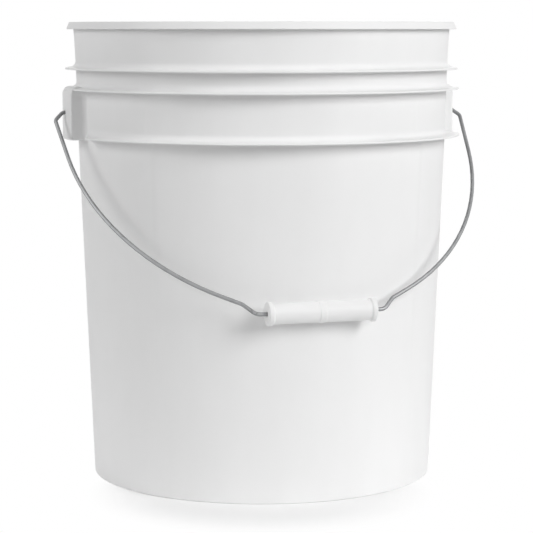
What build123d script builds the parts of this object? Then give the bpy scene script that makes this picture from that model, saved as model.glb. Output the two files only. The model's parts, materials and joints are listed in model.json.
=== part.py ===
from build123d import *
from math import asin, atan, cos, degrees, hypot, radians, sin, sqrt
import os

# Pail: a tapered shell standing on a foot ring, with its axis on Z and its foot at z = 0
pail_height = 355.0
wall_thickness = 2.3
foot_radius = 133.6
foot_corner_radius = 2.0
foot_ring_width = 9.0
foot_inner_rounding = 1.0
floor_recess = 4.0
floor_thickness = 2.5
floor_corner_radius = 6.0

# Three flat ribs round the outside, from the lowest up: height of the underside, and tip radius. The top of
# each runs up into the wall in a fillet. The lowest is cut back in a straight line to nothing beside each
# ear, and the cut starts this many degrees round from the middle of the ear
ribs = [(266.9, 155.7), (302.9, 154.8), (318.5, 154.0)]
rib_names = ["rib_low", "rib_mid", "rib_high"]
rib_tip_thickness = 1.4
rib_root_thickness = 2.4
rib_tip_rounding = 0.8
rib_edge_rounding = 0.3
rib_fillet_radius = 4.5
rib_fillet_rise = 5.0
rib_fillet_lean = 0.4
low_rib_cut_start = 15.0

# Outside of the wall: its slope changes under the lowest rib, at the waist, and under the highest rib,
# at the shoulder
waist_z = ribs[0][0]
waist_radius = 144.3
shoulder_z = ribs[-1][0]
shoulder_radius = 145.5
wall_top_radius = 147.5

# Rim: a flange with a lip that hangs down outside the wall
rim_lip_z = 349.4
rim_lip_radius = 152.9
rim_lip_inner_radius = 150.0
rim_top_radius = 150.6
rim_flange_thickness = 3.2
rim_rounding = 0.9
lip_rounding = 0.5

# Ears: a block that widens outwards from its neck to a slightly rounded face, and flares at its root to
# meet the wall, with a socket for the end of the wire
ear_root_width = 33.0
ear_neck_width = 27.1
ear_face_width = 32.0
ear_root_x = 143.2
ear_neck_x = 146.2
ear_face_x = 157.8
ear_face_curve_radius = 83.0
ear_bottom_z = 265.2
ear_top_z = 306.0
ear_top_corner_radius = 6.0
ear_bottom_corner_radius = 2.0
ear_neck_rounding = 3.0
ear_edge_rounding = 1.2
socket_depth = 10.0
socket_mouth_chamfer = 1.0

# Bail: round wire bent in one plane, hung from the hinge axis
hinge_z = 286.0
wire_radius = 1.45
running_clearance = 0.08
pin_end_gap = 0.6
pin_end_chamfer = 0.4
# Corners of one half, from the ear to the grip: distance across, drop below the hinge, bend radius
bail_corners = [
    (159.6, 0.0, 4.0),
    (166.4, 8.2, 5.0),
    (153.3, 140.3, 180.0),
    (58.0, 194.1, 10.0),
    (49.2, 204.2, 8.0),
]

# Grip: a moulded sleeve on the straight middle of the wire, with a collar at each end and a ridge round
# its middle
grip_length = 82.8
grip_radius = 7.6
collar_radius = 8.8
collar_width = 3.4
collar_slope = 0.8
collar_rounding = 0.9
ridge_width = 4.4
ridge_height = 0.4
ridge_slope = 0.6
ridge_rounding = 0.5
bore_mouth_chamfer = 0.8
grip_to_wall_gap = 0.35

wall_line = [
    (0.0, foot_radius),
    (waist_z, waist_radius),
    (shoulder_z, shoulder_radius),
    (pail_height, wall_top_radius),
]


def wall_radius(z):
    """Outside radius of the wall at height z."""
    for (low_z, low_radius), (high_z, high_radius) in zip(wall_line, wall_line[1:]):
        if z <= high_z:
            break
    return low_radius + (high_radius - low_radius) * (z - low_z) / (high_z - low_z)


# Half sections as (radius, height, corner rounding). The pail is one moulding, drawn as a shell with a rim,
# ribs and two ears that meet it face to face, so that each solid is a simple one
foot_inner_radius = foot_radius - foot_ring_width
floor_z = floor_recess + floor_thickness
rim_under_z = pail_height - rim_flange_thickness
sections = {
    "pail_shell": [
        (foot_inner_radius, 0, foot_inner_rounding),
        (foot_radius, 0, foot_corner_radius),
        (waist_radius, waist_z, 0),
        (shoulder_radius, shoulder_z, 0),
        (wall_top_radius, pail_height, 0),
        (wall_top_radius - wall_thickness, pail_height, rim_rounding),
        (shoulder_radius - wall_thickness, shoulder_z, 0),
        (waist_radius - wall_thickness, waist_z, 0),
        (wall_radius(floor_z) - wall_thickness, floor_z, floor_corner_radius),
        (0, floor_z, 0),
        (0, floor_recess, 0),
        (foot_inner_radius, floor_recess, foot_inner_rounding),
    ],
    "pail_rim": [
        (wall_radius(rim_under_z), rim_under_z, 0),
        (rim_lip_inner_radius, rim_under_z, lip_rounding),
        (rim_lip_inner_radius, rim_lip_z, lip_rounding),
        (rim_lip_radius, rim_lip_z, lip_rounding),
        (rim_top_radius, pail_height, rim_rounding),
        (wall_top_radius, pail_height, 0),
    ],
}
for rib_name, (rib_z, tip_radius) in zip(rib_names, ribs):
    root_top_z = rib_z + rib_root_thickness
    fillet_top_z = root_top_z + rib_fillet_rise
    sections[rib_name] = [
        (wall_radius(rib_z), rib_z, 0),
        (tip_radius, rib_z, rib_edge_rounding),
        (tip_radius, rib_z + rib_tip_thickness, rib_tip_rounding),
        (wall_radius(root_top_z) + rib_fillet_lean, root_top_z, rib_fillet_radius),
        (wall_radius(fillet_top_z), fillet_top_z, 0),
    ]

turned_pieces = {}
for name, section in sections.items():
    with BuildPart() as turned:
        with BuildSketch(Plane.XZ):
            with BuildLine():
                FilletPolyline(
                    *[(radius, z) for radius, z, rounding in section],
                    radius=[rounding for radius, z, rounding in section],
                    close=True,
                )
            make_face()
        revolve(axis=Axis.Z)
    turned.part.label = name
    turned_pieces[name] = turned.part

# The lowest rib, cut back beside each ear from its tip to the ear's root, and so left in two lengths
low_rib = turned_pieces.pop("rib_low")
low_rib_z, low_rib_radius = ribs[0]
cut_tip = Vector(low_rib_radius, 0, 0).rotate(Axis.Z, low_rib_cut_start)
cut_root = Vector(sqrt(waist_radius**2 - (ear_root_width / 2) ** 2), ear_root_width / 2, 0)
cut_end = cut_root + (cut_tip - cut_root) * 3
for name, kept_half in (("rib_low_front", Keep.TOP), ("rib_low_back", Keep.BOTTOM)):
    with BuildPart() as rib_length:
        add(low_rib)
        split(bisect_by=Plane.XZ, keep=kept_half)
        with BuildSketch(Plane.XY.offset(low_rib_z)):
            with BuildLine():
                Polyline(
                    (cut_root.X, cut_root.Y),
                    (cut_end.X, cut_end.Y),
                    (cut_end.X, -cut_end.Y),
                    (cut_root.X, -cut_root.Y),
                    close=True,
                )
            make_face()
            mirror(about=Plane.YZ)
        extrude(amount=rib_root_thickness + rib_fillet_rise, mode=Mode.SUBTRACT)
    rib_length.part.label = name
    turned_pieces[name] = rib_length.part

# The ear on the +X side, cut to meet the wall and the rib that it stands across
with BuildPart() as ear_right:
    half_root = ear_root_width / 2
    half_neck = ear_neck_width / 2
    half_face = ear_face_width / 2
    face_edge_x = ear_face_x - ear_face_curve_radius + sqrt(ear_face_curve_radius**2 - half_face**2)
    with BuildSketch(Plane.XY.offset(ear_bottom_z)) as ear_plan:
        with BuildLine():
            face_arc = ThreePointArc((face_edge_x, -half_face), (ear_face_x, 0), (face_edge_x, half_face))
            Polyline(face_arc @ 1, (ear_neck_x, half_neck), (ear_root_x, half_root), (ear_root_x, 0))
            Polyline(face_arc @ 0, (ear_neck_x, -half_neck), (ear_root_x, -half_root), (ear_root_x, 0))
        make_face()
        neck_corners = ear_plan.vertices().filter_by_position(Axis.X, ear_neck_x - 0.1, ear_neck_x + 0.1)
        fillet(neck_corners, ear_neck_rounding)
    extrude(amount=ear_top_z - ear_bottom_z)
    face_edges = ear_right.faces().sort_by(Axis.X)[-1].edges().filter_by(GeomType.CIRCLE).sort_by(Axis.Z)
    fillet(face_edges[-1], ear_top_corner_radius)
    face_edges = ear_right.faces().sort_by(Axis.X)[-1].edges().filter_by(GeomType.CIRCLE).sort_by(Axis.Z)
    fillet(face_edges[0], ear_bottom_corner_radius)
    side_edges = ear_right.faces().filter_by(lambda face: abs(face.normal_at().Y) > 0.9).edges()
    outer_edges = side_edges.filter_by_position(Axis.X, ear_neck_x + ear_neck_rounding / 2, ear_face_x)
    fillet(outer_edges, ear_edge_rounding)
    with BuildSketch(Plane.YZ.offset(ear_face_x)):
        with Locations((0, hinge_z)):
            Circle(wire_radius + running_clearance)
    extrude(amount=-socket_depth, mode=Mode.SUBTRACT)
    chamfer(ear_right.faces().sort_by(Axis.X)[-1].inner_wires()[0].edges(), socket_mouth_chamfer)
    for turned_piece in turned_pieces.values():
        add(turned_piece, mode=Mode.SUBTRACT)
ear_right.part.label = "ear_right"

with BuildPart() as ear_left:
    mirror(ear_right.part, about=Plane.YZ)
ear_left.part.label = "ear_left"

# The bail hangs in front with its grip against the wall, so its tilt from straight down comes from where
# the grip's ridge meets the sloping wall
grip_drop = bail_corners[-1][1]
wall_slope = (waist_radius - foot_radius) / waist_z
grip_reach = wall_radius(0) + wall_slope * hinge_z + grip_radius + ridge_height + grip_to_wall_gap
bail_tilt = degrees(asin(grip_reach / (grip_drop * hypot(1, wall_slope))) - atan(wall_slope))
bail_plane = Plane(
    origin=(0, 0, hinge_z),
    x_dir=(1, 0, 0),
    z_dir=(0, cos(radians(bail_tilt)), -sin(radians(bail_tilt))),
)

with BuildPart() as bail_wire:
    pin_end_x = ear_face_x - socket_depth + pin_end_gap
    half_path = [(pin_end_x, 0)] + [(across, drop) for across, drop, bend in bail_corners]
    half_bends = [bend for across, drop, bend in bail_corners]
    other_half = [(-across, drop) for across, drop in reversed(half_path)]
    with BuildLine(bail_plane) as wire_path:
        FilletPolyline(*half_path, *other_half, radius=half_bends + half_bends[::-1])
    with BuildSketch(Plane(origin=wire_path.line @ 0, z_dir=wire_path.line % 0)):
        Circle(wire_radius)
    sweep(path=wire_path.line)
    chamfer(bail_wire.faces().filter_by(Axis.X).edges(), pin_end_chamfer)
bail_wire.part.label = "bail_wire"

grip_center = bail_plane.from_local_coords(Vector(0, grip_drop, 0))
grip_plane = Plane(origin=grip_center, x_dir=(1, 0, 0), z_dir=bail_plane.z_dir)
grip_axis = Axis(grip_center, (1, 0, 0))

with BuildPart() as hand_grip:
    bore_radius = wire_radius + running_clearance
    ridge_edge = ridge_width / 2
    grip_end = grip_length / 2
    collar_edge = grip_end - collar_width
    half_section = [
        (ridge_edge, grip_radius + ridge_height, ridge_rounding),
        (ridge_edge + ridge_slope, grip_radius, ridge_rounding),
        (collar_edge - collar_slope, grip_radius, collar_rounding),
        (collar_edge, collar_radius, collar_rounding),
        (grip_end, collar_radius, collar_rounding),
        (grip_end, bore_radius + bore_mouth_chamfer, 0),
        (grip_end - bore_mouth_chamfer, bore_radius, 0),
    ]
    other_section = [(-along, radius, rounding) for along, radius, rounding in reversed(half_section)]
    section = half_section + other_section
    with BuildSketch(grip_plane):
        with BuildLine():
            FilletPolyline(
                *[(along, radius) for along, radius, rounding in section],
                radius=[rounding for along, radius, rounding in section],
                close=True,
            )
        make_face()
    revolve(axis=grip_axis)
hand_grip.part.label = "hand_grip"

os.makedirs("parts", exist_ok=True)
pieces = [*turned_pieces.values(), ear_left.part, ear_right.part, bail_wire.part, hand_grip.part]
for piece in pieces:
    export_step(piece, f"parts/{piece.label}.step")
print("bail tilt", round(bail_tilt, 3), "grip centre", grip_center)
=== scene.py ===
"""White plastic pail with a wire bail and a hand grip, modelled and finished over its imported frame.

The file is laid out as an add-on, with one operator for each piece and one for the stage.
It is run as a script.
"""

import json
from math import atan2, ceil, cos, radians, sin, tan

import bmesh
import bpy
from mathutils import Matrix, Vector


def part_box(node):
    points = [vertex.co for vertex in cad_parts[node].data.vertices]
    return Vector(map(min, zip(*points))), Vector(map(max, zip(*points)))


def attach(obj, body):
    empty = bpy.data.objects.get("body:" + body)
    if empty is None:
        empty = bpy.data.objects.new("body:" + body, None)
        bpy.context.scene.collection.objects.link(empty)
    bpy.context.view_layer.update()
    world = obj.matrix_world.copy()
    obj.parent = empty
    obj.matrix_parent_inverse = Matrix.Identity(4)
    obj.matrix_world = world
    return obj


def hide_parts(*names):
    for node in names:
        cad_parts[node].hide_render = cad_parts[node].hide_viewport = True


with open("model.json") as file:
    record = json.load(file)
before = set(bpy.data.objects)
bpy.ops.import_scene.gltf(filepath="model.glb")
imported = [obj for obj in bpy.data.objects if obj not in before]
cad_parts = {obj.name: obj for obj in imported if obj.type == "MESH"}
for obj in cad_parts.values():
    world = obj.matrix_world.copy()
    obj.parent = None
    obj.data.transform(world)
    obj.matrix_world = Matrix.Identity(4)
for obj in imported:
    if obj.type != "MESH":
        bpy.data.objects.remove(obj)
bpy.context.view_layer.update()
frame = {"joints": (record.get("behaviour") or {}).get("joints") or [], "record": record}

bl_info = {
    "name": "White Plastic Pail",
    "version": (1, 0, 0),
    "blender": (4, 5, 0),
    "location": "View3D > Sidebar > Pail",
    "description": "Models a white plastic pail with its wire bail and hand grip, on a plain stage",
    "category": "Object",
}

BODIES = frame["record"]["behaviour"]["bodies"]
JOINTS = {joint["name"]: Vector(joint["pos_m"]) for joint in frame["joints"]}
HINGE = JOINTS["bail_swing"]
GRIP_CENTRE = JOINTS["grip_spin"]
RIB_BOXES = [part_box(node) for node in ("rib_low_front", "rib_mid", "rib_high")]
RIM_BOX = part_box("pail_rim")
EAR_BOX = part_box("ear_right")

ACROSS = Vector((1, 0, 0))
UP = Vector((0, 0, 1))

# In metres: how close two places are to count as one, and two points to be merged.
CLOSE = 1e-5
DOUBLED = 1e-6
# In metres: how deep the lowest rib's ring is let into the wall, so that no faces lie in one another.
SUNK = 2e-5
# Least share of a face's normal along an axis, for the face to count as facing that way.
# An ear's sides slant, so less is enough there.
FACING = 0.9
FACING_SIDEWAYS = 0.6

# Sides of a full circle, and steps across a rounded corner.
SIDES = {"pail": 256, "grip": 96, "socket": 32, "wire": 24, "floor": 128}
STEPS = {"pail": 5, "grip": 3, "socket": 2, "pin": 2, "ear_neck": 5, "ear_face": 7, "ear_side": 4}
# A bend of the wire has a step for each such angle, and never fewer steps than this.
BEND_STEP = radians(3)
FEWEST_BEND_STEPS = 5

# The part of a noise texture's range that is spread over a finish.
NOISE_RANGE = (0.3, 0.7)
# Width of the camera's sensor in millimetres.
SENSOR_WIDTH = 36


def length(name, description, default):
    """A size in metres."""
    return bpy.props.FloatProperty(
        name=name,
        description=description,
        default=default,
        min=0,
        precision=4,
        subtype="DISTANCE",
        unit="LENGTH",
    )


def lengths(name, description, default):
    """A row of like sizes in metres."""
    return bpy.props.FloatVectorProperty(
        name=name,
        description=description,
        default=default,
        size=len(default),
        precision=4,
        unit="LENGTH",
    )


def turn(name, description, degrees):
    """An angle, given here in degrees."""
    return bpy.props.FloatProperty(
        name=name, description=description, default=radians(degrees), subtype="ANGLE", unit="ROTATION"
    )


def colour(name, description, default):
    """A plain colour."""
    return bpy.props.FloatVectorProperty(
        name=name, description=description, default=default, size=3, min=0, max=1, subtype="COLOR"
    )


def level(name, description, default):
    """A plain strength, at which 1 is white."""
    return bpy.props.FloatProperty(name=name, description=description, default=default, min=0)


def power(name, description, default):
    """A lamp's power in watts."""
    return bpy.props.FloatProperty(
        name=name, description=description, default=default, min=0, unit="POWER"
    )


class PailSizes(bpy.types.PropertyGroup):
    """Sizes of the moulded pail."""

    height: length("Height", "From the ground to the top of the rim", RIM_BOX[1].z)
    wall: length("Wall", "Thickness of the wall", 0.0023)
    foot_radius: length("Foot Radius", "Outside radius at the foot", 0.1336)
    foot_rounding: length("Foot Rounding", "Rounding of the foot's outer corner", 0.0008)
    foot_width: length("Foot Width", "Width of the ring that the pail stands on", 0.009)
    recess: length("Recess", "Height of the floor's underside above the ground", 0.004)
    recess_rounding: length("Recess Rounding", "Rounding of the foot ring's inner corners", 0.001)
    floor: length("Floor", "Thickness of the pail's floor", 0.0025)
    floor_rounding: length("Floor Rounding", "Rounding inside, where the floor meets the wall", 0.006)
    waist_radius: length("Waist Radius", "Outside radius of the wall under the lowest rib", 0.1443)
    shoulder_radius: length("Shoulder Radius", "Outside radius under the highest rib", 0.1455)
    top_radius: length("Top Radius", "Outside radius of the wall at its top", 0.1475)
    rib_heights: lengths(
        "Rib Heights", "Undersides of the ribs, lowest first", [low.z for low, high in RIB_BOXES]
    )
    rib_radii: lengths(
        "Rib Radii", "Tip radii of the ribs, lowest first", [-low.y for low, high in RIB_BOXES]
    )
    rib_tip: length("Rib Tip", "Thickness of a rib at its tip", 0.0014)
    rib_root: length("Rib Root", "Thickness of a rib at the wall", 0.0024)
    rib_tip_rounding: length("Rib Tip Rounding", "Rounding of a rib's tip, above", 0.0008)
    rib_edge_rounding: length("Rib Edge Rounding", "Rounding of a rib's tip, below", 0.0003)
    rib_fillet: length("Rib Fillet", "Rounding where a rib's top meets the wall", 0.0045)
    rib_root_rounding: length("Rib Root Rounding", "Rounding where a rib's underside meets the wall", 0.0008)
    low_rib_cut: turn("Low Rib Cut", "How far round from an ear's middle the lowest rib's cut starts", 15)
    flange: length("Flange", "Thickness of the rim's flange", 0.0032)
    lip_height: length("Lip Height", "Lower edge of the lip round the rim", RIM_BOX[0].z)
    lip_radius: length("Lip Radius", "Outside radius of the lip's lower edge", 0.1529)
    lip_inner_radius: length("Lip Inner Radius", "Inside radius of the lip", 0.15)
    rim_radius: length("Rim Radius", "Outside radius of the rim at its top", 0.1506)
    rim_rounding: length("Rim Rounding", "Rounding of the rim's top edges", 0.0009)
    lip_rounding: length("Lip Rounding", "Rounding of the lip's edges", 0.0005)


class EarSizes(bpy.types.PropertyGroup):
    """Sizes of the two ears that carry the bail."""

    root_width: length("Root Width", "Width of the ear at the wall", 0.033)
    neck_width: length("Neck Width", "Width of the ear at its neck, close to the wall", 0.0271)
    face_width: length("Face Width", "Width of the ear at its outer face", 0.032)
    root: length("Root", "Distance of the ear's root from the pail's axis", 0.1432)
    neck: length("Neck", "Distance of the ear's neck from the pail's axis", 0.1462)
    face: length("Face", "Distance of the ear's outer face from the pail's axis", EAR_BOX[1].x)
    curve: length("Curve", "Radius of the outer face, seen from above", 0.083)
    bottom: length("Bottom", "Height of the ear's underside", EAR_BOX[0].z)
    top: length("Top", "Height of the ear's top", EAR_BOX[1].z)
    top_corner: length("Top Corner", "Rounding of the face's upper edge", 0.006)
    bottom_corner: length("Bottom Corner", "Rounding of the face's lower edge", 0.002)
    neck_rounding: length("Neck Rounding", "Rounding from the sides into the flared root", 0.003)
    edge_rounding: length("Edge Rounding", "Rounding of the ear's side edges", 0.0012)
    socket: length("Socket", "Radius of the socket for the wire", 0.00153)
    socket_depth: length("Socket Depth", "Depth of the socket", 0.01)
    mouth: length("Mouth", "Chamfer at the socket's mouth", 0.001)


class BailSizes(bpy.types.PropertyGroup):
    """Sizes of the wire bail, which is bent in one plane. Its corners are listed from an ear to the grip."""

    wire: length("Wire", "Radius of the wire", 0.00145)
    pin_end: length("Pin End", "Distance of the wire's end from the pail's axis", 0.1484)
    pin_chamfer: length("Pin Chamfer", "Chamfer at the wire's ends", 0.0004)
    across: lengths(
        "Across", "Corners' distance from the middle", (0.1596, 0.1664, 0.1533, 0.058, 0.0492)
    )
    drop: lengths("Drop", "Corners' distance from the hinge", (0.0, 0.0082, 0.1403, 0.1941, 0.2042))
    bend: lengths("Bend", "Bend radius at each corner", (0.004, 0.005, 0.18, 0.01, 0.008))


class GripSizes(bpy.types.PropertyGroup):
    """Sizes of the hand grip, a sleeve on the straight middle of the wire."""

    length: length("Length", "Length of the grip", 0.0828)
    radius: length("Radius", "Outside radius of the sleeve", 0.0076)
    collar_radius: length("Collar Radius", "Outside radius of the collar at each end", 0.0088)
    collar_width: length("Collar Width", "Width of each collar", 0.0034)
    collar_slope: length("Collar Slope", "Length of the slope from the sleeve up to a collar", 0.0008)
    collar_rounding: length("Collar Rounding", "Rounding of the collars' edges", 0.0009)
    ridge_width: length("Ridge Width", "Width of the ridge round the middle", 0.0044)
    ridge_height: length("Ridge Height", "Height of the ridge above the sleeve", 0.0004)
    ridge_slope: length("Ridge Slope", "Length of the slope from the sleeve up to the ridge", 0.0006)
    ridge_rounding: length("Ridge Rounding", "Rounding of the ridge's edges", 0.0005)
    bore: length("Bore", "Radius of the bore that the wire runs through", 0.00153)
    mouth: length("Mouth", "Chamfer at the bore's ends", 0.0008)


class Finishes(bpy.types.PropertyGroup):
    """Colours of the finishes."""

    plastic: colour("Pail Plastic", "White of the pail's plastic", (0.87, 0.87, 0.87))
    grip: colour("Grip Plastic", "White of the grip's plastic", (0.86, 0.86, 0.86))
    wire: colour("Galvanised Wire", "Grey of the dull galvanised wire", (0.29, 0.294, 0.298))


class StageSizes(bpy.types.PropertyGroup):
    """The floor, the camera and the lamps. Azimuths go round from the pail's front, to the right."""

    floor_radius: length("Floor Radius", "Radius of the round floor", 0.6)
    floor_colour: colour("Floor", "Colour of the pale floor", (0.9, 0.9, 0.9))
    shade_azimuth: turn("Shade Azimuth", "Line through the axis that the floor's shade lies along", -17.1)
    shade_reach: length("Shade Reach", "Distance of the shade's two centres from the pail's axis", 0.09)
    shade_radius: length("Shade Radius", "Distance from a centre at which the floor starts to whiten", 0.07)
    plain_radius: length("Plain Radius", "Distance from a centre at which the floor is plain white", 0.135)
    camera_azimuth: turn("Camera Azimuth", "How far the camera stands round from the front", -17.1)
    camera_distance: length("Camera Distance", "Level distance from the pail's axis", 1.5841)
    camera_height: length("Camera Height", "Height of the camera above the floor", 0.35)
    camera_tilt: turn("Camera Tilt", "How far the camera looks down", 6.785)
    camera_pan: turn("Camera Pan", "How far the camera looks to the right of the pail's axis", 0.143)
    camera_lens: bpy.props.FloatProperty(
        name="Lens",
        description="Focal length in millimetres",
        default=135.15,
        min=1,
        subtype="DISTANCE_CAMERA",
    )
    overhead: level("Overhead", "Light from straight above, less towards the horizon", 0.51)
    upward: level("Upward", "Light from below, off the pale ground, less towards the horizon", 1.15)
    lamp_distance: length("Lamp Distance", "From each lamp to the middle of the pail", 2.4)
    key_azimuth: turn("Key Azimuth", "Place of the large lamp in front, to the right", 33)
    key_elevation: turn("Key Elevation", "How high the key lamp stands", 26)
    key_size: length("Key Size", "Side of the square key lamp", 1.1)
    key_power: power("Key Power", "Power of the key lamp", 37.2)
    side_azimuth: turn("Side Azimuth", "Place of the lamp at the left", -80)
    side_elevation: turn("Side Elevation", "How high the side lamp stands", 25)
    side_size: length("Side Size", "Side of the square lamp at the left", 1.2)
    side_power: power("Side Power", "Power of the side lamp", 19.8)
    back_azimuth: turn("Back Azimuth", "Place of the lamp behind, which lights the back", 163)
    back_elevation: turn("Back Elevation", "How high the back lamp stands", 16)
    back_size: length("Back Size", "Side of the square lamp behind", 0.8)
    back_power: power("Back Power", "Power of the back lamp", 16.0)


def deselect():
    """Leave edit mode with nothing selected, so that the next operator acts only on what it adds."""
    if bpy.context.mode != "OBJECT":
        bpy.ops.object.mode_set(mode="OBJECT")
    bpy.ops.object.select_all(action="DESELECT")


def choose(piece):
    """Select only this piece, and make it active."""
    deselect()
    piece.select_set(True)
    bpy.context.view_layer.objects.active = piece


def open_piece(name):
    """Name the active piece, put its place into its mesh, and open it for editing, all selected."""
    piece = bpy.context.object
    piece.name = piece.data.name = name
    bpy.ops.object.transform_apply(location=True, rotation=True, scale=True)
    bpy.ops.object.mode_set(mode="EDIT")
    bpy.ops.mesh.select_mode(type="EDGE")
    bpy.ops.mesh.select_all(action="SELECT")
    return piece


def pick(piece, kind, test):
    """Select only the edges or faces of the open piece that pass the test."""
    bpy.ops.mesh.select_mode(type={"edges": "EDGE", "faces": "FACE"}[kind])
    bpy.ops.mesh.select_all(action="DESELECT")
    mesh = bmesh.from_edit_mesh(piece.data)
    mesh.normal_update()
    for part in getattr(mesh, kind):
        if test(part):
            part.select_set(True)
    bmesh.update_edit_mesh(piece.data)


def extrude(move):
    """Extrude the selected edges, and move what is new."""
    bpy.ops.mesh.extrude_edges_move(TRANSFORM_OT_translate={"value": move})


def bevel(offset, steps):
    """Round the selected edges by a bevel of a few steps."""
    bpy.ops.mesh.bevel(offset=offset, segments=steps, affect="EDGES")


def close_piece(piece):
    """Merge doubles, turn the normals outwards and leave edit mode."""
    bpy.ops.mesh.select_all(action="SELECT")
    bpy.ops.mesh.remove_doubles(threshold=DOUBLED)
    bpy.ops.mesh.normals_make_consistent(inside=False)
    bpy.ops.object.mode_set(mode="OBJECT")
    return piece


def apply_modifier(piece, kind, **settings):
    """Add a modifier to the piece and apply it."""
    bpy.context.view_layer.objects.active = piece
    modifier = piece.modifiers.new(kind.title(), kind)
    for setting, value in settings.items():
        setattr(modifier, setting, value)
    bpy.ops.object.modifier_apply(modifier=modifier.name)


def combine(piece, other, operation):
    """Join another closed mesh to the piece, cut it away, or keep only what lies in both."""
    deselect()
    apply_modifier(piece, "BOOLEAN", object=other, operation=operation, solver="EXACT")
    bpy.data.objects.remove(other)


def smooth(piece, crease):
    """Shade the piece smooth where its faces meet at less than the crease angle. Large faces stay flat."""
    choose(piece)
    bpy.ops.object.shade_smooth_by_angle(angle=crease)
    apply_modifier(piece, "WEIGHTED_NORMAL", keep_sharp=True, weight=80)


def setback(before, corner, after):
    """How far a corner's rounding reaches along its two sides."""
    towards = Vector(corner[:2]) - Vector(before[:2])
    away = Vector(after[:2]) - Vector(corner[:2])
    return corner[2] * tan(towards.angle(away) / 2)


def turn_piece(name, rings, kind, axis, centre):
    """Model a turned piece by extruding a circle from ring to ring, as fine as its kind is divided.

    Rings are (radius, place along the axis, rounding). A first and last ring of no radius close the
    piece at its axis. Otherwise its last ring meets its first.
    """
    solid = rings[0][0] == 0
    loops = rings[1:-1] if solid else rings
    first_radius, first_place, _ = loops[0]
    facing = UP.rotation_difference(axis).to_euler()
    deselect()
    bpy.ops.mesh.primitive_circle_add(
        vertices=SIDES[kind], radius=first_radius, location=centre + axis * first_place, rotation=facing
    )
    piece = open_piece(name)
    for (radius, place, _), (next_radius, next_place, _) in zip(loops, loops[1:]):
        extrude(axis * (next_place - place))
        grow = next_radius / radius
        bpy.ops.transform.resize(value=(grow, grow, grow), center_override=centre + axis * next_place)
    if solid:
        close_end()
        pick(piece, "edges", lambda edge: edge.is_boundary)
        close_end()
        round_rings(piece, rings, kind)
    else:
        pick(piece, "edges", lambda edge: edge.is_boundary)
        bpy.ops.mesh.bridge_edge_loops()
        round_rings(piece, [rings[-1], *rings, rings[0]], kind)
    return piece


def close_end():
    """Close the selected ring with a fan of faces to its centre."""
    extrude((0, 0, 0))
    bpy.ops.mesh.merge(type="CENTER")


def round_rings(piece, rings, kind):
    """Round the rings' corners with one bevel, weighted so that each corner gets its own radius.

    The first and last of the rings are only the neighbours of the corners between them.
    """
    setbacks = [setback(*corners) for corners in zip(rings, rings[1:], rings[2:])]
    widest = max(setbacks)
    mesh = bmesh.from_edit_mesh(piece.data)
    mesh.verts.index_update()
    weight = mesh.edges.layers.float.new("bevel_weight_edge")
    for edge in mesh.edges:
        ring, other = (vertex.index // SIDES[kind] for vertex in edge.verts)
        if ring == other:
            edge[weight] = setbacks[ring] / widest
    bmesh.update_edit_mesh(piece.data)
    close_piece(piece)
    apply_modifier(
        piece, "BEVEL", limit_method="WEIGHT", width=widest, segments=STEPS[kind], use_clamp_overlap=False
    )


def wall_radius(pail, height):
    """Outside radius of the wall at a height. Its slope changes under the lowest and the highest rib."""
    wall_line = [
        (0, pail.foot_radius),
        (pail.rib_heights[0], pail.waist_radius),
        (pail.rib_heights[2], pail.shoulder_radius),
        (pail.height, pail.top_radius),
    ]
    for (low, low_radius), (high, high_radius) in zip(wall_line, wall_line[1:]):
        if height <= high + CLOSE:
            break
    return low_radius + (high_radius - low_radius) * (height - low) / (high - low)


def rib_rings(pail, number, sunk=0):
    """Corners of a rib's half section, from the wall under it, round its tip, to the wall over it."""
    under = pail.rib_heights[number]
    over = under + pail.rib_root
    tip_radius = pail.rib_radii[number]
    return [
        (wall_radius(pail, under) - sunk, under, pail.rib_root_rounding),
        (tip_radius, under, pail.rib_edge_rounding),
        (tip_radius, under + pail.rib_tip, pail.rib_tip_rounding),
        (wall_radius(pail, over) - sunk, over, pail.rib_fillet),
    ]


def pail_rings(pail):
    """Corners of the pail's half section, from the middle of its underside, up outside and down inside.

    The lowest rib is left out, because it doesn't go all the way round.
    """
    foot_inner = pail.foot_radius - pail.foot_width
    floor_top = pail.recess + pail.floor
    flange_under = pail.height - pail.flange
    return [
        (0, pail.recess, 0),
        (foot_inner, pail.recess, pail.recess_rounding),
        (foot_inner, 0, pail.recess_rounding),
        (pail.foot_radius, 0, pail.foot_rounding),
        (pail.waist_radius, pail.rib_heights[0], 0),
        *rib_rings(pail, 1),
        *rib_rings(pail, 2),
        (wall_radius(pail, flange_under), flange_under, pail.lip_rounding),
        (pail.lip_inner_radius, flange_under, pail.lip_rounding),
        (pail.lip_inner_radius, pail.lip_height, pail.lip_rounding),
        (pail.lip_radius, pail.lip_height, pail.lip_rounding),
        (pail.rim_radius, pail.height, pail.rim_rounding),
        (pail.top_radius - pail.wall, pail.height, pail.rim_rounding),
        (pail.shoulder_radius - pail.wall, pail.rib_heights[2], 0),
        (pail.waist_radius - pail.wall, pail.rib_heights[0], 0),
        (wall_radius(pail, floor_top) - pail.wall, floor_top, pail.floor_rounding),
        (0, floor_top, 0),
    ]


def model_low_rib(pail, ear):
    """Model the lowest rib: a ring let into the wall, and cut straight back to nothing beside each ear."""
    corners = rib_rings(pail, 0, SUNK)
    low = corners[0][1] - 2 * pail.rib_root_rounding
    high = corners[-1][1] + 2 * pail.rib_fillet
    inside = pail.waist_radius - pail.wall / 2
    rings = [
        (inside, low, 0),
        (wall_radius(pail, low) - SUNK, low, 0),
        *corners,
        (wall_radius(pail, high) - SUNK, high, 0),
        (inside, high, 0),
    ]
    rib = turn_piece("low_rib", rings, "pail", UP, Vector())
    gap = model_rib_gap(pail, ear)
    combine(rib, mirror_piece(gap), "DIFFERENCE")
    combine(rib, gap, "DIFFERENCE")
    return rib


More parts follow.
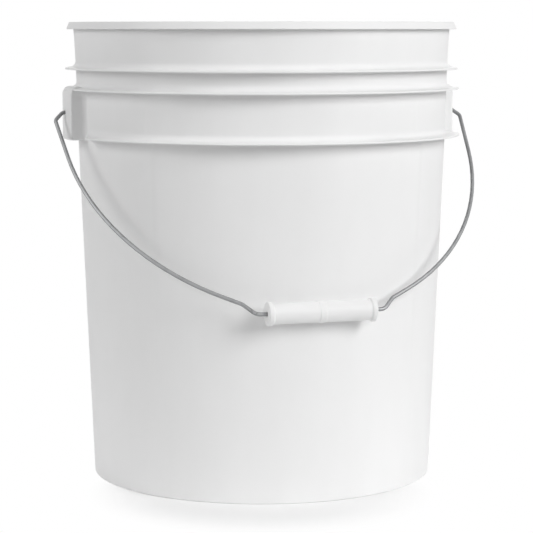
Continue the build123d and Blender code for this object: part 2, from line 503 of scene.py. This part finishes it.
def model_rib_gap(pail, ear):
    """Model the wedge that is cut out of the lowest rib at the right ear, from the ear's root outwards."""
    half_root = ear.root_width / 2
    root = (pail.waist_radius**2 - half_root**2) ** 0.5
    tip = pail.rib_radii[0] * cos(pail.low_rib_cut)
    half_tip = pail.rib_radii[0] * sin(pail.low_rib_cut)
    half_face = half_root + (half_tip - half_root) * (ear.face - root) / (tip - root)
    # Tall enough to pass the rib with its fillet, above and below.
    height = 4 * (pail.rib_root + pail.rib_fillet)
    size = Vector((ear.face - root, ear.root_width, height))
    middle = Vector(((root + ear.face) / 2, 0, pail.rib_heights[0]))
    deselect()
    bpy.ops.mesh.primitive_cube_add(size=1, location=middle, scale=size)
    piece = open_piece("rib_gap")
    pick(piece, "faces", lambda face: face.normal.x > FACING)
    bpy.ops.transform.resize(value=(1, half_face / half_root, 1), center_override=middle)
    return close_piece(piece)


def model_ear(ear):
    """Model the ear on the right: its block, rounded at the edges, with the socket for the wire."""
    piece = model_ear_block(ear)
    for height, corner in ((ear.top, ear.top_corner), (ear.bottom, ear.bottom_corner)):
        pick(piece, "edges", lambda edge: is_face_edge(edge, ear, height))
        bevel(corner, STEPS["ear_face"])
    pick(piece, "edges", lambda edge: is_side_edge(edge, ear))
    bevel(ear.edge_rounding, STEPS["ear_side"])
    close_piece(piece)
    socket_rings = [
        (0, ear.face - ear.socket_depth, 0),
        (ear.socket, ear.face - ear.socket_depth, 0),
        (ear.socket, ear.face - ear.mouth, ear.mouth / 2),
        (ear.socket + 2 * ear.mouth, ear.face + ear.mouth, 0),
        (0, ear.face + ear.mouth, 0),
    ]
    combine(piece, turn_piece("socket", socket_rings, "socket", ACROSS, HINGE), "DIFFERENCE")
    return piece


def model_ear_block(ear):
    """Model the ear's block, flared at its root and out to its curved face, and leave it open."""
    size = Vector((ear.face - ear.neck, ear.neck_width, ear.top - ear.bottom))
    middle = Vector((ear.face + ear.neck, 0, ear.top + ear.bottom)) / 2
    drum_axis = ear.face - ear.curve
    face_edge = drum_axis + (ear.curve**2 - (ear.face_width / 2) ** 2) ** 0.5
    flare = (ear.face_width - ear.neck_width) / (face_edge - ear.neck)
    deselect()
    bpy.ops.mesh.primitive_cube_add(size=1, location=middle, scale=size)
    piece = open_piece("ear")
    pick(piece, "faces", lambda face: face.normal.x > FACING)
    bpy.ops.transform.resize(value=(1, 1 + flare * size.x / ear.neck_width, 1), center_override=middle)
    pick(piece, "faces", lambda face: face.normal.x < -FACING)
    bpy.ops.mesh.extrude_region_move(TRANSFORM_OT_translate={"value": ACROSS * (ear.root - ear.neck)})
    bpy.ops.transform.resize(value=(1, ear.root_width / ear.neck_width, 1), center_override=middle)
    pick(piece, "edges", lambda edge: is_neck_edge(edge, ear))
    neck_corner = (ear.neck, ear.neck_width / 2, ear.neck_rounding)
    reach = setback((face_edge, ear.face_width / 2), neck_corner, (ear.root, ear.root_width / 2))
    bevel(reach, STEPS["ear_neck"])
    deselect()
    bpy.ops.mesh.primitive_cylinder_add(
        vertices=SIDES["pail"], radius=ear.curve, depth=2 * size.z, location=(drum_axis, 0, middle.z)
    )
    combine(piece, bpy.context.object, "INTERSECT")
    choose(piece)
    return open_piece("ear")


def is_neck_edge(edge, ear):
    """Whether an edge is an upright one at the ear's neck."""
    start, end = (vertex.co for vertex in edge.verts)
    return abs(start.x - ear.neck) < CLOSE and (start - end).xy.length < CLOSE


def is_face_edge(edge, ear, height):
    """Whether an edge is part of the edge of the ear's outer face at this height."""
    outer_half = (ear.neck + ear.face) / 2
    return all(abs(end.co.z - height) < CLOSE and end.co.x > outer_half for end in edge.verts)


def is_side_edge(edge, ear):
    """Whether an edge of the ear goes round one of its two sides, away from its root."""
    sideways = [abs(face.normal.y) > FACING_SIDEWAYS for face in edge.link_faces]
    past_root = max(end.co.x for end in edge.verts) > ear.root + CLOSE
    return any(sideways) and not all(sideways) and past_root


def mirror_piece(piece):
    """Copy a piece on the right to the left side, with a mesh of its own."""
    choose(piece)
    bpy.ops.object.duplicate()
    copy = open_piece(piece.name + "_left")
    bpy.ops.transform.resize(value=(-1, 1, 1), center_override=(0, 0, 0))
    return close_piece(copy)


def bend_wire(name, corners, radius, place):
    """Model a bent wire: a circle run straight from corner to corner, and spun round each bend.

    Corners are (across, drop, bend radius), and place turns across and drop into a point.
    """
    points = [Vector(corner[:2]) for corner in corners]
    bends = [corner[2] for corner in corners]
    here = points[0]
    origin = place(Vector((0, 0)))
    plane_normal = (place(Vector((1, 0))) - origin).cross(place(Vector((0, 1))) - origin)
    facing = UP.rotation_difference(ACROSS).to_euler()
    deselect()
    bpy.ops.mesh.primitive_circle_add(
        vertices=SIDES["wire"], radius=radius, location=place(here), rotation=facing
    )
    piece = open_piece(name)
    for before, corner, after, bend in zip(points, points[1:], points[2:], bends[1:]):
        towards = (corner - before).normalized()
        away = (after - corner).normalized()
        angle = atan2(towards.cross(away), towards.dot(away))
        reach = bend * tan(abs(angle) / 2)
        start = corner - towards * reach
        inward = Vector((-towards.y, towards.x)) * (1 if angle > 0 else -1)
        steps = max(FEWEST_BEND_STEPS, ceil(abs(angle) / BEND_STEP))
        extrude(place(start) - place(here))
        bpy.ops.mesh.spin(
            steps=steps, angle=-angle, center=place(start + inward * bend), axis=plane_normal
        )
        here = corner + away * reach
    extrude(place(points[-1]) - place(here))
    return piece


def grip_rings(grip):
    """Corners of the grip's half section, from one end's bore, over the outside, to the other end's."""
    end = grip.length / 2
    collar = end - grip.collar_width
    ridge = grip.ridge_width / 2
    half = [
        (grip.bore, end - grip.mouth, grip.mouth / 4),
        (grip.bore + grip.mouth, end, grip.mouth / 4),
        (grip.collar_radius, end, grip.collar_rounding),
        (grip.collar_radius, collar, grip.collar_rounding),
        (grip.radius, collar - grip.collar_slope, grip.collar_rounding),
        (grip.radius, ridge + grip.ridge_slope, grip.ridge_rounding),
        (grip.radius + grip.ridge_height, ridge, grip.ridge_rounding),
    ]
    left = [(radius, -place, rounding) for radius, place, rounding in half]
    return left + half[::-1]


def add_node(tree, kind, **settings):
    """Add a shader node. A setting named for one of the node's inputs sets that input."""
    node = tree.nodes.new(kind)
    for setting, value in settings.items():
        if hasattr(node, setting):
            setattr(node, setting, value)
        else:
            node.inputs[setting.replace("_", " ")].default_value = value
    return node


def new_group(name, inputs, outputs):
    """Start a shader node group with named sockets, and return it with its input and output nodes."""
    group = bpy.data.node_groups.new(name, "ShaderNodeTree")
    for socket, kind in inputs.items():
        group.interface.new_socket(socket, in_out="INPUT", socket_type=kind)
    for socket, kind in outputs.items():
        group.interface.new_socket(socket, in_out="OUTPUT", socket_type=kind)
    return group, group.nodes.new("NodeGroupInput"), group.nodes.new("NodeGroupOutput")


def mottled_skin_group():
    """Slow drifts of tone and a fine grain, as moulded plastic and galvanised wire have."""
    name = "mottled_skin"
    if name in bpy.data.node_groups:
        return bpy.data.node_groups[name]
    group, given, result = new_group(
        name,
        {"Place": "NodeSocketVector", "Drift Scale": "NodeSocketFloat", "Grain Scale": "NodeSocketFloat"},
        {"Drift": "NodeSocketFloat", "Grain": "NodeSocketFloat"},
    )
    drift = add_node(group, "ShaderNodeTexNoise", Detail=3.0, Roughness=0.55)
    group.links.new(given.outputs["Place"], drift.inputs["Vector"])
    group.links.new(given.outputs["Drift Scale"], drift.inputs["Scale"])
    group.links.new(drift.outputs["Fac"], result.inputs["Drift"])
    grain = add_node(group, "ShaderNodeTexNoise", Detail=2.0, Roughness=0.5)
    group.links.new(given.outputs["Place"], grain.inputs["Vector"])
    group.links.new(given.outputs["Grain Scale"], grain.inputs["Scale"])
    group.links.new(grain.outputs["Fac"], result.inputs["Grain"])
    return group


def rub_marks_group():
    """Thin broken rub marks, as a mask that is 1 on a mark.

    Marks run where a noise is at its middle value, within patches that are the larger for more spread.
    """
    name = "rub_marks"
    if name in bpy.data.node_groups:
        return bpy.data.node_groups[name]
    group, given, result = new_group(
        name,
        {"Place": "NodeSocketVector", "Scale": "NodeSocketFloat", "Spread": "NodeSocketFloat"},
        {"Marks": "NodeSocketFloat"},
    )
    noise_middle = 0.5
    mark_width = 0.004
    lines = add_node(group, "ShaderNodeTexNoise", Detail=1.0, Distortion=0.6)
    group.links.new(given.outputs["Place"], lines.inputs["Vector"])
    group.links.new(given.outputs["Scale"], lines.inputs["Scale"])
    on_line = add_node(group, "ShaderNodeMath", operation="COMPARE")
    group.links.new(lines.outputs["Fac"], on_line.inputs[0])
    on_line.inputs[1].default_value = noise_middle
    on_line.inputs[2].default_value = mark_width
    patches = add_node(group, "ShaderNodeTexNoise", Scale=14.0, Detail=2.0)
    group.links.new(given.outputs["Place"], patches.inputs["Vector"])
    worn = add_node(group, "ShaderNodeMath", operation="LESS_THAN")
    group.links.new(patches.outputs["Fac"], worn.inputs[0])
    group.links.new(given.outputs["Spread"], worn.inputs[1])
    marks = add_node(group, "ShaderNodeMath", operation="MULTIPLY")
    group.links.new(on_line.outputs[0], marks.inputs[0])
    group.links.new(worn.outputs[0], marks.inputs[1])
    group.links.new(marks.outputs[0], result.inputs["Marks"])
    return group


def new_material(name):
    """Start a node material, and return it with its node tree and its shader."""
    material = bpy.data.materials.new(name)
    material.use_nodes = True
    return material, material.node_tree, material.node_tree.nodes["Principled BSDF"]


def add_group(tree, group, place, **values):
    """Place a node group in a material, with its own values."""
    node = add_node(tree, "ShaderNodeGroup", node_tree=group)
    tree.links.new(place, node.inputs["Place"])
    for socket, value in values.items():
        node.inputs[socket.replace("_", " ")].default_value = value
    return node


def tinted(plain, factor):
    """A colour made darker or lighter by a factor."""
    return [min(1, factor * part) for part in plain]


def shades(tree, fac, low, high):
    """Run a value from one colour to another."""
    ramp = add_node(tree, "ShaderNodeValToRGB")
    ramp.color_ramp.elements[0].color = (*low, 1)
    ramp.color_ramp.elements[1].color = (*high, 1)
    tree.links.new(fac, ramp.inputs["Fac"])
    return ramp.outputs["Color"]


def spread(tree, value, low, high, clip=NOISE_RANGE):
    """Spread a value, clipped, over a range of numbers."""
    node = add_node(tree, "ShaderNodeMapRange")
    node.inputs["From Min"].default_value, node.inputs["From Max"].default_value = clip
    node.inputs["To Min"].default_value, node.inputs["To Max"].default_value = low, high
    tree.links.new(value, node.inputs["Value"])
    return node.outputs["Result"]


def bump(tree, shader, height, strength, distance):
    """Raise the surface by a height value."""
    node = add_node(tree, "ShaderNodeBump", Strength=strength, Distance=distance)
    tree.links.new(height, node.inputs["Height"])
    tree.links.new(node.outputs["Normal"], shader.inputs["Normal"])


def plastic_material(name, white, roughness, drift_scale, grain_scale, stretch):
    """Satin white moulded plastic: faint drifts of tone along the flow, orange peel and rub marks."""
    material, tree, shader = new_material(name)
    place = add_node(tree, "ShaderNodeTexCoord").outputs["Object"]
    along = add_node(tree, "ShaderNodeMapping", Scale=stretch)
    tree.links.new(place, along.inputs["Vector"])
    skin = add_group(
        tree,
        mottled_skin_group(),
        along.outputs["Vector"],
        Drift_Scale=drift_scale,
        Grain_Scale=grain_scale,
    )
    marks = add_group(tree, rub_marks_group(), place, Scale=9.0, Spread=0.42)
    drift = spread(tree, skin.outputs["Drift"], 0, 1)
    tones = shades(tree, drift, tinted(white, 0.98), tinted(white, 1.01))
    tree.links.new(tones, shader.inputs["Base Color"])
    roughness_change = -0.12
    rubbed = add_node(tree, "ShaderNodeMath", operation="MULTIPLY_ADD")
    tree.links.new(marks.outputs["Marks"], rubbed.inputs[0])
    rubbed.inputs[1].default_value = roughness_change
    tree.links.new(spread(tree, skin.outputs["Drift"], *roughness), rubbed.inputs[2])
    tree.links.new(rubbed.outputs[0], shader.inputs["Roughness"])
    bump(tree, shader, skin.outputs["Grain"], strength=0.06, distance=0.0003)
    shader.inputs["IOR"].default_value = 1.5
    shader.inputs["Specular IOR Level"].default_value = 0.2
    return material


def wire_material(name, grey):
    """Dull galvanised steel: zinc spangle, a fine grain and dark rub marks."""
    material, tree, shader = new_material(name)
    place = add_node(tree, "ShaderNodeTexCoord").outputs["Object"]
    skin = add_group(tree, mottled_skin_group(), place, Drift_Scale=160.0, Grain_Scale=1400.0)
    marks = add_group(tree, rub_marks_group(), place, Scale=60.0, Spread=0.5)
    spangle = spread(tree, skin.outputs["Drift"], 0, 1)
    zinc = shades(tree, spangle, tinted(grey, 0.88), tinted(grey, 1.12))
    mark_strength = 0.6
    rubbed = add_node(tree, "ShaderNodeMix", data_type="RGBA")
    rubbed.inputs["B"].default_value = (*tinted(grey, 0.55), 1)
    dark = spread(tree, marks.outputs["Marks"], 0, mark_strength, clip=(0, 1))
    tree.links.new(dark, rubbed.inputs["Factor"])
    tree.links.new(zinc, rubbed.inputs["A"])
    tree.links.new(rubbed.outputs["Result"], shader.inputs["Base Color"])
    roughness = (0.46, 0.6)
    tree.links.new(spread(tree, skin.outputs["Drift"], *roughness), shader.inputs["Roughness"])
    bump(tree, shader, skin.outputs["Grain"], strength=0.04, distance=0.0002)
    shader.inputs["Metallic"].default_value = 1.0
    return material


def finish_piece(piece, body, material):
    """Give a piece its material, and put it in place of its body's solids."""
    piece.data.materials.clear()
    piece.data.materials.append(material)
    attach(piece, body)
    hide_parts(*BODIES[body])


def seen_directly(tree):
    """A value that is 1 where the stage is seen, also in a reflection, and 0 where it only gives light."""
    path = add_node(tree, "ShaderNodeLightPath")
    seen = path.outputs["Is Camera Ray"]
    for ray in ("Is Glossy Ray", "Is Transmission Ray"):
        either = add_node(tree, "ShaderNodeMath", operation="MAXIMUM")
        tree.links.new(seen, either.inputs[0])
        tree.links.new(path.outputs[ray], either.inputs[1])
        seen = either.outputs[0]
    return seen


def floor_material(stage):
    """Pale matt floor that keeps the pail's shadow in front and behind, and is plain white further out."""
    material, tree, shader = new_material("pale_floor")
    tree.nodes.remove(shader)
    matt = add_node(tree, "ShaderNodeBsdfDiffuse", Color=(*stage.floor_colour, 1))
    plain = add_node(tree, "ShaderNodeEmission", Color=(1, 1, 1, 1), Strength=1.0)
    coordinates = add_node(tree, "ShaderNodeTexCoord")
    turned = add_node(tree, "ShaderNodeMapping", Rotation=(0, 0, -stage.shade_azimuth))
    tree.links.new(coordinates.outputs["Object"], turned.inputs["Vector"])
    front_or_back = add_node(tree, "ShaderNodeVectorMath", operation="ABSOLUTE")
    tree.links.new(turned.outputs["Vector"], front_or_back.inputs[0])
    distance = add_node(tree, "ShaderNodeVectorMath", operation="DISTANCE")
    tree.links.new(front_or_back.outputs["Vector"], distance.inputs[0])
    distance.inputs[1].default_value = (0, stage.shade_reach, 0)
    fade = add_node(tree, "ShaderNodeMapRange", interpolation_type="SMOOTHSTEP")
    fade.inputs["From Min"].default_value = stage.shade_radius
    fade.inputs["From Max"].default_value = stage.plain_radius
    tree.links.new(distance.outputs["Value"], fade.inputs["Value"])
    white = add_node(tree, "ShaderNodeMath", operation="MULTIPLY")
    tree.links.new(fade.outputs["Result"], white.inputs[0])
    tree.links.new(seen_directly(tree), white.inputs[1])
    mix = add_node(tree, "ShaderNodeMixShader")
    tree.links.new(white.outputs[0], mix.inputs["Fac"])
    tree.links.new(matt.outputs["BSDF"], mix.inputs[1])
    tree.links.new(plain.outputs["Emission"], mix.inputs[2])
    tree.links.new(mix.outputs["Shader"], tree.nodes["Material Output"].inputs["Surface"])
    return material


def add_floor(stage):
    """Add the round floor that the pail stands on."""
    deselect()
    bpy.ops.mesh.primitive_circle_add(
        vertices=SIDES["floor"], radius=stage.floor_radius, fill_type="NGON"
    )
    floor = bpy.context.object
    floor.name = floor.data.name = "floor"
    floor.data.materials.append(floor_material(stage))


def light_world(stage):
    """White backdrop for the camera and for reflections, and a soft light from above and from below."""
    world = bpy.data.worlds.new("plain_studio")
    world.use_nodes = True
    tree = world.node_tree
    direction = add_node(tree, "ShaderNodeSeparateXYZ")
    tree.links.new(add_node(tree, "ShaderNodeTexCoord").outputs["Generated"], direction.inputs["Vector"])
    light = add_node(tree, "ShaderNodeMath", operation="ADD")
    above = spread(tree, direction.outputs["Z"], 0, stage.overhead, clip=(0, 1))
    below = spread(tree, direction.outputs["Z"], 0, stage.upward, clip=(0, -1))
    tree.links.new(above, light.inputs[0])
    tree.links.new(below, light.inputs[1])
    colours = add_node(tree, "ShaderNodeMix", data_type="RGBA")
    tree.links.new(light.outputs[0], colours.inputs["A"])
    colours.inputs["B"].default_value = (1, 1, 1, 1)
    tree.links.new(seen_directly(tree), colours.inputs["Factor"])
    tree.links.new(colours.outputs["Result"], tree.nodes["Background"].inputs["Color"])
    bpy.context.scene.world = world


def round_from_front(azimuth, elevation, distance):
    """A point round the pail: azimuth 0 is in front, and to the right is positive."""
    level_part = cos(elevation)
    return distance * Vector((sin(azimuth) * level_part, -cos(azimuth) * level_part, sin(elevation)))


def add_softbox(stage, name):
    """Add the key, side or back lamp, a square one that faces the middle of the pail."""
    azimuth = getattr(stage, name + "_azimuth")
    elevation = getattr(stage, name + "_elevation")
    target = UP * HINGE.z / 2
    place = target + round_from_front(azimuth, elevation, stage.lamp_distance)
    facing = (target - place).to_track_quat("-Z", "Y").to_euler()
    deselect()
    bpy.ops.object.light_add(type="AREA", location=place, rotation=facing)
    lamp = bpy.context.object
    lamp.name = lamp.data.name = name + "_softbox"
    lamp.data.shape = "SQUARE"
    lamp.data.size = getattr(stage, name + "_size")
    lamp.data.energy = getattr(stage, name + "_power")


def add_camera(stage):
    """Add the camera, in front and a little to the left."""
    place = round_from_front(stage.camera_azimuth, 0, stage.camera_distance) + UP * stage.camera_height
    facing = (radians(90) - stage.camera_tilt, 0, stage.camera_azimuth - stage.camera_pan)
    bpy.ops.object.camera_add(location=place, rotation=facing)
    camera = bpy.context.object
    camera.name = camera.data.name = "front_camera"
    camera.data.sensor_width = SENSOR_WIDTH
    camera.data.lens = stage.camera_lens
    return camera


class PAIL_OT_moulding(bpy.types.Operator):
    """Model the white moulding: the turned shell with its rim and ribs, and the two ears"""

    bl_idname = "pail.moulding"
    bl_label = "Pail Moulding"

    def execute(self, context):
        scene = context.scene
        piece = turn_piece("pail_moulding", pail_rings(scene.pail_sizes), "pail", UP, Vector())
        combine(piece, model_low_rib(scene.pail_sizes, scene.ear_sizes), "UNION")
        ear = model_ear(scene.ear_sizes)
        combine(piece, mirror_piece(ear), "UNION")
        combine(piece, ear, "UNION")
        smooth(piece, crease=radians(32))
        material = plastic_material(
            "white_polyethylene",
            scene.pail_finishes.plastic,
            roughness=(0.48, 0.58),
            drift_scale=22.0,
            grain_scale=900.0,
            stretch=(1, 1, 0.25),
        )
        finish_piece(piece, "pail", material)
        return {"FINISHED"}


class PAIL_OT_bail(bpy.types.Operator):
    """Bend the wire bail, from one ear round to the other"""

    bl_idname = "pail.bail"
    bl_label = "Wire Bail"

    def execute(self, context):
        bail = context.scene.bail_sizes
        downward = (GRIP_CENTRE - HINGE).normalized()
        half = [(bail.pin_end, 0, 0), *zip(bail.across, bail.drop, bail.bend)]
        other_half = [(-across, drop, bend) for across, drop, bend in reversed(half)]
        piece = bend_wire(
            "bail_round_wire",
            half + other_half,
            bail.wire,
            lambda point: HINGE + ACROSS * point.x + downward * point.y,
        )
        bpy.ops.mesh.select_all(action="SELECT")
        bpy.ops.mesh.fill_holes(sides=0)
        # The two ends are the only faces with more than four corners.
        pick(piece, "edges", lambda edge: any(len(face.verts) > 4 for face in edge.link_faces))
        bevel(bail.pin_chamfer, STEPS["pin"])
        close_piece(piece)
        smooth(piece, crease=radians(40))
        material = wire_material("galvanised_steel", context.scene.pail_finishes.wire)
        finish_piece(piece, "bail", material)
        return {"FINISHED"}


class PAIL_OT_grip(bpy.types.Operator):
    """Model the hand grip, a sleeve with a collar at each end and a ridge round its middle"""

    bl_idname = "pail.grip"
    bl_label = "Hand Grip"

    def execute(self, context):
        scene = context.scene
        piece = turn_piece("grip_sleeve", grip_rings(scene.grip_sizes), "grip", ACROSS, GRIP_CENTRE)
        smooth(piece, crease=radians(40))
        material = plastic_material(
            "grip_polyethylene",
            scene.pail_finishes.grip,
            roughness=(0.36, 0.46),
            drift_scale=60.0,
            grain_scale=1200.0,
            stretch=(0.3, 1, 1),
        )
        finish_piece(piece, "grip", material)
        return {"FINISHED"}


class PAIL_OT_stage(bpy.types.Operator):
    """Set the pail on a pale floor in soft studio light, with the camera in front and to the left"""

    bl_idname = "pail.stage"
    bl_label = "Stage"

    def execute(self, context):
        stage = context.scene.pail_stage
        add_floor(stage)
        light_world(stage)
        for lamp in ("key", "side", "back"):
            add_softbox(stage, lamp)
        context.scene.camera = add_camera(stage)
        context.scene.view_settings.view_transform = "Standard"
        return {"FINISHED"}


class PAIL_PT_panel(bpy.types.Panel):
    """Lists the pail's operators and sizes"""

    bl_idname = "PAIL_PT_panel"
    bl_label = "White Plastic Pail"
    bl_space_type = "VIEW_3D"
    bl_region_type = "UI"
    bl_category = "Pail"

    def draw(self, context):
        for operator in OPERATORS:
            self.layout.operator(operator.bl_idname)
        for name in SETTINGS:
            group = getattr(context.scene, name)
            box = self.layout.box()
            box.label(text=type(group).__name__)
            for setting in group.__annotations__:
                box.prop(group, setting)


OPERATORS = (PAIL_OT_moulding, PAIL_OT_bail, PAIL_OT_grip, PAIL_OT_stage)
SETTINGS = {
    "pail_sizes": PailSizes,
    "ear_sizes": EarSizes,
    "bail_sizes": BailSizes,
    "grip_sizes": GripSizes,
    "pail_finishes": Finishes,
    "pail_stage": StageSizes,
}


def register():
    """Register the classes, and hang the settings on the scene."""
    for group in (*SETTINGS.values(), *OPERATORS, PAIL_PT_panel):
        bpy.utils.register_class(group)
    for name, group in SETTINGS.items():
        setattr(bpy.types.Scene, name, bpy.props.PointerProperty(type=group))


def unregister():
    """Take the settings off the scene, and unregister the classes."""
    for name in SETTINGS:
        delattr(bpy.types.Scene, name)
    for group in (PAIL_PT_panel, *OPERATORS, *SETTINGS.values()):
        bpy.utils.unregister_class(group)


def main():
    """Make every piece and the stage."""
    register()
    bpy.ops.pail.moulding()
    bpy.ops.pail.bail()
    bpy.ops.pail.grip()
    bpy.ops.pail.stage()


if __name__ == "__main__":
    main()
